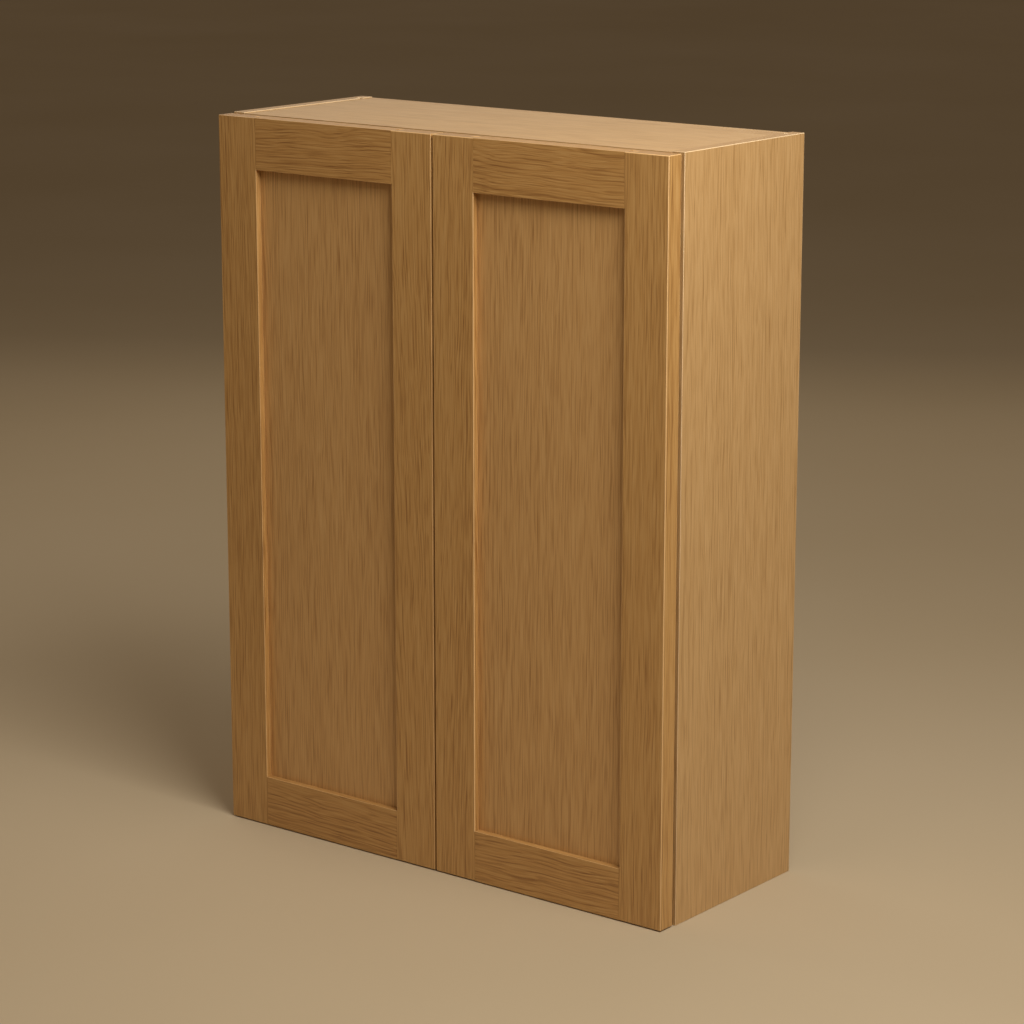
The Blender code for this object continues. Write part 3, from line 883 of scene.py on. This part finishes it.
@dataclass
class Carcass:
    """The box: sides, top, bottom, back, hanging rails and two shelves on their pins."""

    frame: dict
    metal: bpy.types.Material
    body: str = "carcass"
    arris: float = 0.0009
    pin_shank: float = 0.0021
    pin_collar: float = 0.0008
    pin_nose: float = 0.0012
    boards: list[Board] = field(default_factory=lambda: [
        Board("left_side_panel", CARCASS_WOOD, Grain.UPRIGHT, -X, Cut(0.110, 62, 0.5, 1.3)),
        Board("right_side_panel", CARCASS_WOOD, Grain.UPRIGHT, X, Cut(0.140, 66, -0.5, 3.1)),
        Board("top_panel", CARCASS_WOOD, Grain.ACROSS, Z, Cut(0.120, 58, 0.6, 5.2)),
        Board("bottom_panel", CARCASS_WOOD, Grain.ACROSS, -Z, Cut(0.130, 60, -0.6, 7.7)),
        Board("lower_shelf", CARCASS_WOOD, Grain.ACROSS, Z, Cut(0.090, 55, 0.4, 9.4)),
        Board("upper_shelf", CARCASS_WOOD, Grain.ACROSS, Z, Cut(0.150, 64, -0.4, 11.8)),
        Board("back_panel", PLYWOOD, Grain.UPRIGHT, -Y, Cut(0.160, 12, 0.6, 13.5)),
        Board("top_hanging_rail", PLYWOOD, Grain.ACROSS, -Y, Cut(0.120, 15, 0.8, 15.9)),
        Board("bottom_hanging_rail", PLYWOOD, Grain.ACROSS, -Y, Cut(0.100, 10, -0.8, 17.2)),
    ])

    def build(self) -> None:
        """Build every board and the eight shelf pins."""
        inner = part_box("right_side_panel")[0].x
        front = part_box("right_side_panel")[0].y
        for board in self.boards:
            spanning = board.node in ("top_panel", "bottom_panel", "top_hanging_rail", "bottom_hanging_rail")
            share = partial(self.arris_share, inner=inner, front=front, spanning=spanning)
            eased = Eased(board.node, self.arris, shortest=SHORTEST_EASED, share=share)
            piece = eased.build(self.frame["nodes"][board.node])
            settle(piece, board.material(), self.body, [board.node])
        for shelf in ("lower", "upper"):
            for side in Side:
                for row in ("front", "rear"):
                    self.shelf_pin(f"{shelf}_shelf_pin_{side.word}_{row}", side)

    @staticmethod
    def arris_share(
        first: Vector, second: Vector, inner: float, front: float, spanning: bool,
    ) -> float:
        """How round an arris of a carcass board is.

        Args:
            first: One end of the edge.
            second: Its other end.
            inner: X of the right side's inner face.
            front: Y of the carcass's front.
            spanning: Whether the board runs from side to side.

        Returns:
            Nothing where the board butts against a side, half on the front edges, all of it elsewhere.
        """
        if spanning and min(abs(first.x), abs(second.x)) > inner - NEAR:
            return 0.0
        return 0.5 if max(first.y, second.y) < front + NEAR else 1.0

    def shelf_pin(self, node: str, side: Side) -> None:
        """Turned pin: a shank in its hole, a thin collar against the side and a round-nosed head.

        Args:
            node: The node it stands for.
            side: The side panel that it is plugged into.
        """
        low, high, middle = place_of(node)
        length = high.x - low.x
        head = (high.z - low.z) / 2
        tip = Vector((low.x if side is Side.LEFT else high.x, middle.y, middle.z))
        shoulder = abs(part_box("left_side_panel")[1].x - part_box("lower_shelf_pin_left_front")[0].x)
        neck = head - self.pin_collar / 2
        profile = [(0, 0), (self.pin_shank - self.pin_collar / 2, 0), (self.pin_shank, self.pin_collar)]
        profile += [(self.pin_shank, shoulder), (head, shoulder), (head, shoulder + self.pin_collar)]
        profile += [(neck, shoulder + self.pin_collar)]
        profile += rounded((neck - self.pin_nose, length - self.pin_nose), self.pin_nose, 0, 90)
        profile += [(0, length)]
        pin = lathe(f"{node}_turned", profile, aimed(tip, side.inward))
        settle(pin, self.metal, self.body, [node])


@dataclass(frozen=True)
class Screw:
    """Screw with a domed head and a cross recess.

    Attributes:
        radius: Radius of its head.
        height: Height of its head.
        shank: Length under the head, or 0 for a head alone.
        shank_radius: Radius of the shank.
        slot_width: Width of each arm of the recess.
        slot_reach: Length of each arm from the middle.
        slot_depth: Depth of the recess.
        dome_share: Part of the head's height that is domed.
        taper_start: Part of the shank's length that is not tapered.
        tip_share: Radius of its tip as a part of the shank's.
        dome_steps: Number of facets from the dome's rim to its middle.
    """

    radius: float = 0.004
    height: float = 0.0016
    shank: float = 0.0
    shank_radius: float = 0.0021
    slot_width: float = 0.0009
    slot_reach: float = 0.0022
    slot_depth: float = 0.0010
    dome_share: float = 0.75
    taper_start: float = 0.85
    tip_share: float = 0.5
    dome_steps: int = 5

    @property
    def profile(self) -> list[tuple[float, float]]:
        """Radius and height of each point of the screw's outline, from tip to crown."""
        dome = self.height * self.dome_share
        points = [(0, -self.shank)] if self.shank else [(0, 0)]
        if self.shank:
            points += [(self.shank_radius * self.tip_share, -self.shank)]
            points += [(self.shank_radius, -self.shank * self.taper_start), (self.shank_radius, 0)]
        points += [(self.radius, 0), (self.radius, self.height - dome)]
        for step in range(1, self.dome_steps):
            angle = math.radians(90 * step / self.dome_steps)
            points.append((self.radius * math.cos(angle), self.height - dome + dome * math.sin(angle)))
        return [*points, (0, self.height)]

    def driver(self, name: str, frame: Matrix) -> bpy.types.Object:
        """Cross-shaped bar that sinks the recess.

        Args:
            name: The bar's name.
            frame: Place of the screw.

        Returns:
            The bar, standing as high above the head as it goes into it.
        """
        form = bmesh.new()
        reach, half = self.slot_reach, self.slot_width / 2
        corner = [(reach, -half), (reach, half), (half, half)]
        outline = [turned @ Vector(place) for turned in map(quarter, range(4)) for place in corner]
        floor = self.height - self.slot_depth
        face = form.faces.new([form.verts.new((*place, floor)) for place in outline])
        raised = bmesh.ops.extrude_face_region(form, geom=[face])["geom"]
        top = [part for part in raised if isinstance(part, bmesh.types.BMVert)]
        bmesh.ops.translate(form, verts=top, vec=(0, 0, 2 * self.slot_depth))
        bmesh.ops.recalc_face_normals(form, faces=form.faces)
        bmesh.ops.transform(form, matrix=frame, verts=form.verts)
        return finished(name, form)

    def build(self, name: str, seat: Vector, outward: Vector) -> bpy.types.Object:
        """Make the screw.

        Args:
            name: The piece's name.
            seat: Middle of the head's underside.
            outward: Direction that the head faces.

        Returns:
            The screw, with its cross cut in.
        """
        frame = aimed(seat, outward)
        screw = lathe(name, self.profile, frame, SMALL_STEPS)
        cut_away(screw, self.driver(f"{name}_driver", frame))
        return screw


CUP_SCREW = Screw(0.0032, 0.0011, slot_width=0.0007, slot_reach=0.0017, slot_depth=0.0006)
ADJUSTING_SCREW = Screw(0.0034, 0.0009, slot_width=0.0008, slot_reach=0.0020, slot_depth=0.0005)


@dataclass
class Hinge:
    """Concealed hinge: the cup and pin on the door, the arm, plate and screws on the carcass.

    Attributes:
        frame: What the frame holds.
        side: The door that it carries.
        which: Whether it is the lower or the upper one.
        nickel: Material of its pressed parts.
        zinc: Material of its screws.
        arris: How round the cup's edges are.
        arm_arris: How round the arm's and the plate's edges are.
        flange_radius: Radius of the cup's flange.
        ear_offset: Distance from the flange's edge to its screws.
        cup_screw_spread: Distance of those screws from the hinge's middle.
        adjuster_places: Where the two adjusting screws stand along the arm, from its wall end.
    """

    frame: dict
    side: Side
    which: str
    nickel: bpy.types.Material
    zinc: bpy.types.Material
    arris: float = 0.00025
    arm_arris: float = 0.0004
    flange_radius: float = 0.019
    ear_offset: float = 0.0095
    cup_screw_spread: float = 0.0225
    adjuster_places: tuple[float, float] = (0.30, 0.68)

    @property
    def stem(self) -> str:
        """Start of the hinge's node names."""
        return f"{self.side.word}_{self.which}"

    def build(self) -> None:
        """Build the hinge's pieces on both bodies."""
        door = f"{self.side.word}_door"
        for part, body, radius in (
            ("cup", door, self.arris), ("arm", "carcass", self.arm_arris), ("plate", "carcass", self.arm_arris),
        ):
            node = f"{self.stem}_hinge_{part}"
            piece = Eased(node, radius, planed=False).build(self.frame["nodes"][node])
            settle(piece, self.nickel, body, [node])
        self.pin(door)
        self.plate_screws()
        self.cup_screws(door)
        self.adjusters()

    def pin(self, door: str) -> None:
        """Pivot pin with chamfered ends."""
        node = f"{self.stem}_hinge_pin"
        low, high, middle = place_of(node)
        radius = (high.x - low.x) / 2
        length = high.z - low.z
        chamfer = radius / 3
        profile = [(0, 0), (radius - chamfer, 0), (radius, chamfer), (radius, length - chamfer)]
        profile += [(radius - chamfer, length), (0, length)]
        foot = Vector((middle.x, middle.y, low.z))
        pin = lathe(f"{node}_turned", profile, aimed(foot, Z), SMALL_STEPS)
        settle(pin, self.nickel, door, [node])

    def plate_screws(self) -> None:
        """Two screws through the plate into the side panel."""
        plate_low, plate_high, _ = place_of(f"{self.stem}_hinge_plate")
        seat_x = plate_high.x if self.side is Side.LEFT else plate_low.x
        for end in ("low", "high"):
            node = f"{self.stem}_plate_screw_{end}"
            low, high, middle = place_of(node)
            head_x, tip_x = (high.x, low.x) if self.side is Side.LEFT else (low.x, high.x)
            seat = Vector((seat_x + self.side.inward.x * FRAME_GAP, middle.y, middle.z))
            screw = Screw((high.z - low.z) / 2, abs(head_x - seat.x), abs(seat.x - tip_x))
            piece = screw.build(f"{node}_detailed", seat, self.side.inward)
            settle(piece, self.zinc, "carcass", [node])

    def cup_screws(self, door: str) -> None:
        """Two small screws through the ears of the cup's flange into the stile."""
        low, high, middle = place_of(f"{self.stem}_hinge_cup")
        outer = low.x if self.side is Side.LEFT else high.x
        x = outer + self.side.inward.x * (self.flange_radius + self.ear_offset)
        for end, sign in (("low", -1), ("high", 1)):
            seat = Vector((x, high.y + HEAD_GAP, middle.z + sign * self.cup_screw_spread))
            piece = CUP_SCREW.build(f"{self.stem}_cup_screw_{end}", seat, Y)
            settle(piece, self.zinc, door)

    def adjusters(self) -> None:
        """The arm's two adjusting screws, on the face that looks into the cabinet."""
        low, high, middle = place_of(f"{self.stem}_hinge_arm")
        top = high.x if self.side is Side.LEFT else low.x
        for name, share in zip(("depth_screw", "side_screw"), self.adjuster_places):
            y = high.y + (low.y - high.y) * share
            seat = Vector((top + self.side.inward.x * HEAD_GAP, y, middle.z))
            piece = ADJUSTING_SCREW.build(f"{self.stem}_hinge_{name}", seat, self.side.inward)
            settle(piece, self.zinc, "carcass")


@dataclass
class Door:
    """Five-piece door: two stiles, two rails, a panel in their grooves, two hinges and two bumpers.

    Attributes:
        frame: What the frame holds.
        side: Which door it is.
        nickel: Material of its hinges.
        zinc: Material of their screws.
        rubber: Material of its bumpers.
        outer_cut: Where the hinged stile was cut from.
        inner_cut: Where the other stile was cut from.
        top_cut: Where the top rail was cut from.
        bottom_cut: Where the bottom rail was cut from.
        panel_cut: Where the panel was cut from.
        arris: How round an edge is that a hand can reach.
        dome: Part of a bumper's height that is domed.
        dome_steps: Number of facets from the dome's rim to its middle.
    """

    frame: dict
    side: Side
    nickel: bpy.types.Material
    zinc: bpy.types.Material
    rubber: bpy.types.Material
    outer_cut: Cut
    inner_cut: Cut
    top_cut: Cut
    bottom_cut: Cut
    panel_cut: Cut
    arris: float = 0.0010
    dome: float = 0.45
    dome_steps: int = 6

    @property
    def body(self) -> str:
        """The body that the door's pieces move with."""
        return f"{self.side.word}_door"

    def build(self) -> None:
        """Build the door's boards, bumpers and hinges."""
        opening = (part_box(f"{self.body}_bottom_rail")[1].z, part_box(f"{self.body}_top_rail")[0].z)
        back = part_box(f"{self.body}_outer_stile")[1].y
        for board in (
            Board(f"{self.body}_outer_stile", DOOR_WOOD, Grain.UPRIGHT, -Y, self.outer_cut),
            Board(f"{self.body}_inner_stile", DOOR_WOOD, Grain.UPRIGHT, -Y, self.inner_cut),
            Board(f"{self.body}_top_rail", RAIL_WOOD, Grain.ACROSS, -Y, self.top_cut),
            Board(f"{self.body}_bottom_rail", RAIL_WOOD, Grain.ACROSS, -Y, self.bottom_cut),
            Board(f"{self.body}_panel", PANEL_WOOD, Grain.UPRIGHT, -Y, self.panel_cut),
        ):
            eased = Eased(board.node, self.arris, shortest=SHORTEST_EASED)
            if "stile" in board.node:
                eased.splits = [(Vector((0, 0, height)), Z) for height in opening]
                ends = [self.joint_plane(board.node)]
                eased.share = partial(self.arris_share, ends=ends, opening=opening, back=back)
            elif "rail" in board.node:
                ends = [self.joint_plane(f"{self.body}_{name}_stile") for name in ("outer", "inner")]
                eased.share = partial(self.arris_share, ends=ends, opening=None, back=back)
            piece = eased.build(self.frame["nodes"][board.node])
            settle(piece, board.material(), self.body, [board.node])
        for end in ("top", "bottom"):
            self.bumper(f"{self.body}_{end}_bumper")
        for which in ("lower", "upper"):
            Hinge(self.frame, self.side, which, self.nickel, self.zinc).build()

    def joint_plane(self, stile: str) -> float:
        """X of the edge of a stile that faces the panel."""
        low, high, middle = place_of(stile)
        door_middle = place_of(f"{self.body}_panel")[2].x
        return high.x if middle.x < door_middle else low.x

    @staticmethod
    def arris_share(
        first: Vector, second: Vector, ends: Sequence[float], opening: tuple[float, float] | None, back: float,
    ) -> float:
        """How round an arris of a stile or rail is.

        Args:
            first: One end of the edge.
            second: Its other end.
            ends: X of each plane where the board meets its neighbours.
            opening: Lowest and highest point of the part of a stile that stands free in the panel's opening.
            back: Y of the door's back.

        Returns:
            Nothing where stile and rail meet, a third where the doors meet, half on the door's back, all of it
            elsewhere.
        """
        if max(abs(first.x), abs(second.x)) < MEETING:
            return 0.35
        height = (first.z + second.z) / 2
        free = opening is not None and opening[0] - NEAR < height < opening[1] + NEAR
        if not free and any(abs(first.x - end) < NEAR and abs(second.x - end) < NEAR for end in ends):
            return 0.0
        return 0.5 if min(first.y, second.y) > back - NEAR else 1.0

    def bumper(self, node: str) -> None:
        """Domed stick-on bumper.

        Args:
            node: The node it stands for.
        """
        low, high, middle = place_of(node)
        radius = (high.x - low.x) / 2
        height = high.y - low.y
        wall = height * (1 - self.dome)
        profile = [(0, 0), (radius, 0), (radius, wall)]
        for step in range(1, self.dome_steps):
            angle = math.radians(90 * step / self.dome_steps)
            profile.append((radius * math.cos(angle), wall + height * self.dome * math.sin(angle)))
        profile.append((0, height))
        foot = Vector((middle.x, low.y, middle.z))
        piece = lathe(f"{node}_domed", profile, aimed(foot, Y))
        settle(piece, self.rubber, self.body, [node])


@dataclass(frozen=True)
class Softbox:
    """A rectangular soft light that faces the cabinet.

    Attributes:
        name: Its name.
        turn: Where it stands round the cabinet, in degrees from the doors' front towards the right.
        rise: How high it stands, in degrees.
        distance: How far it stands from the middle of the cabinet.
        size: Its width and height.
        watts: Its power.
        colour: Colour of its light.
    """

    name: str
    turn: float
    rise: float
    distance: float
    size: tuple[float, float]
    watts: float
    colour: str


@dataclass
class Studio:
    """Pale floor, soft studio light and a long-lens camera.

    Attributes:
        floor_size: Length of the floor's sides.
        camera_turn: Where the camera stands round the cabinet, in degrees from the doors' front.
        camera_pitch: How high it stands, in degrees.
        camera_distance: How far it stands from its target.
        lens: Its focal length, in millimetres.
        target: Point that it looks at.
        sensor_width: Width of its sensor, in millimetres.
        sight: How far it sees.
        sky_colour: Colour of the light from all round.
        sky_strength: Strength of that light.
        softboxes: The lamps.
    """

    floor_size: float = 60.0
    camera_turn: float = 38.246
    camera_pitch: float = 13.322
    camera_distance: float = 3.9028
    lens: float = 110.87
    target: Vector = field(default_factory=lambda: Vector((0.0132, -0.1360, -0.4226)))
    sensor_width: float = 36.0
    sight: float = 200.0
    sky_colour: str = "FFE3C2"
    sky_strength: float = 0.15
    softboxes: tuple[Softbox, ...] = (
        Softbox("key", 66.0, 49.0, 2.1, (1.2, 1.2), 42.0, "FFF8EE"),
        Softbox("back", 212.0, 20.0, 3.2, (2.8, 1.3), 6.0, "FFEFD9"),
        Softbox("rear", 262.0, 42.0, 3.2, (2.0, 1.6), 12.0, "FFF3E2"),
        Softbox("fill", -14.0, 48.0, 2.4, (1.8, 1.4), 1.5, "FFE6C6"),
    )

    def build(self, floor_height: float) -> None:
        """Set the stage.

        Args:
            floor_height: Height of the surface that the cabinet stands on for its portrait.
        """
        form = bmesh.new()
        bmesh.ops.create_grid(form, x_segments=8, y_segments=8, size=self.floor_size / 2)
        bmesh.ops.translate(form, vec=(0, 0, floor_height), verts=form.verts)
        floor = finished("studio_floor", form)
        floor.data.materials.append(Paper().material())
        floor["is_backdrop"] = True
        self.add_camera()
        for softbox in self.softboxes:
            self.add_softbox(softbox)
        world = bpy.data.worlds.new("studio")
        world.use_nodes = True
        sky = world.node_tree.nodes["Background"]
        sky.inputs["Color"].default_value = linear(self.sky_colour)
        sky.inputs["Strength"].default_value = self.sky_strength
        bpy.context.scene.world = world
        bpy.context.scene.view_settings.view_transform = "Standard"

    @staticmethod
    def direction(turn: float, rise: float) -> Vector:
        """Unit vector from the cabinet at a turn round it and a rise, in degrees."""
        around, up = math.radians(turn), math.radians(rise)
        return Vector((math.sin(around) * math.cos(up), -math.cos(around) * math.cos(up), math.sin(up)))

    def add_camera(self) -> None:
        """Place the camera."""
        data = bpy.data.cameras.new("camera")
        data.lens = self.lens
        data.sensor_width = self.sensor_width
        data.clip_end = self.sight
        camera = bpy.data.objects.new("camera", data)
        back = self.direction(self.camera_turn, self.camera_pitch)
        camera.location = self.target + back * self.camera_distance
        camera.rotation_euler = back.to_track_quat("Z", "Y").to_euler()
        bpy.context.scene.collection.objects.link(camera)
        bpy.context.scene.camera = camera

    def add_softbox(self, softbox: Softbox) -> None:
        """Hang one softbox.

        Args:
            softbox: Its place, size, power and colour.
        """
        data = bpy.data.lights.new(softbox.name, "AREA")
        data.shape = "RECTANGLE"
        data.size, data.size_y = softbox.size
        data.energy = softbox.watts
        data.color = linear(softbox.colour)[:3]
        light = bpy.data.objects.new(softbox.name, data)
        towards = self.direction(softbox.turn, softbox.rise)
        light.location = self.target + towards * softbox.distance
        light.rotation_euler = towards.to_track_quat("Z", "Y").to_euler()
        light.visible_camera = False
        bpy.context.scene.collection.objects.link(light)


def main() -> None:
    """Load the frame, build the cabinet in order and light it."""
    logging.basicConfig(level=logging.INFO, format="%(name)s: %(message)s")
    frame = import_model()
    cad_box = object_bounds()
    nickel, zinc, rubber = NICKEL.material(), ZINC.material(), Rubber().material()
    Carcass(frame, nickel).build()
    Door(
        frame, Side.LEFT, nickel, zinc, rubber,
        outer_cut=Cut(0.100, 68, 0.4, 21.0), inner_cut=Cut(0.060, 40, 1.3, 23.4),
        top_cut=Cut(0.075, 30, 1.0, 25.1), bottom_cut=Cut(0.070, 28, -1.4, 27.6),
        panel_cut=Cut(0.130, 70, 0.3, 29.3),
    ).build()
    Door(
        frame, Side.RIGHT, nickel, zinc, rubber,
        outer_cut=Cut(0.110, 66, -0.4, 31.7), inner_cut=Cut(0.065, 42, -1.1, 33.2),
        top_cut=Cut(0.070, 26, -1.2, 35.8), bottom_cut=Cut(0.080, 32, 1.1, 37.5),
        panel_cut=Cut(0.120, 72, -0.3, 39.9),
    ).build()
    Studio().build(cad_box[0].z)


if __name__ == "__main__":
    main()
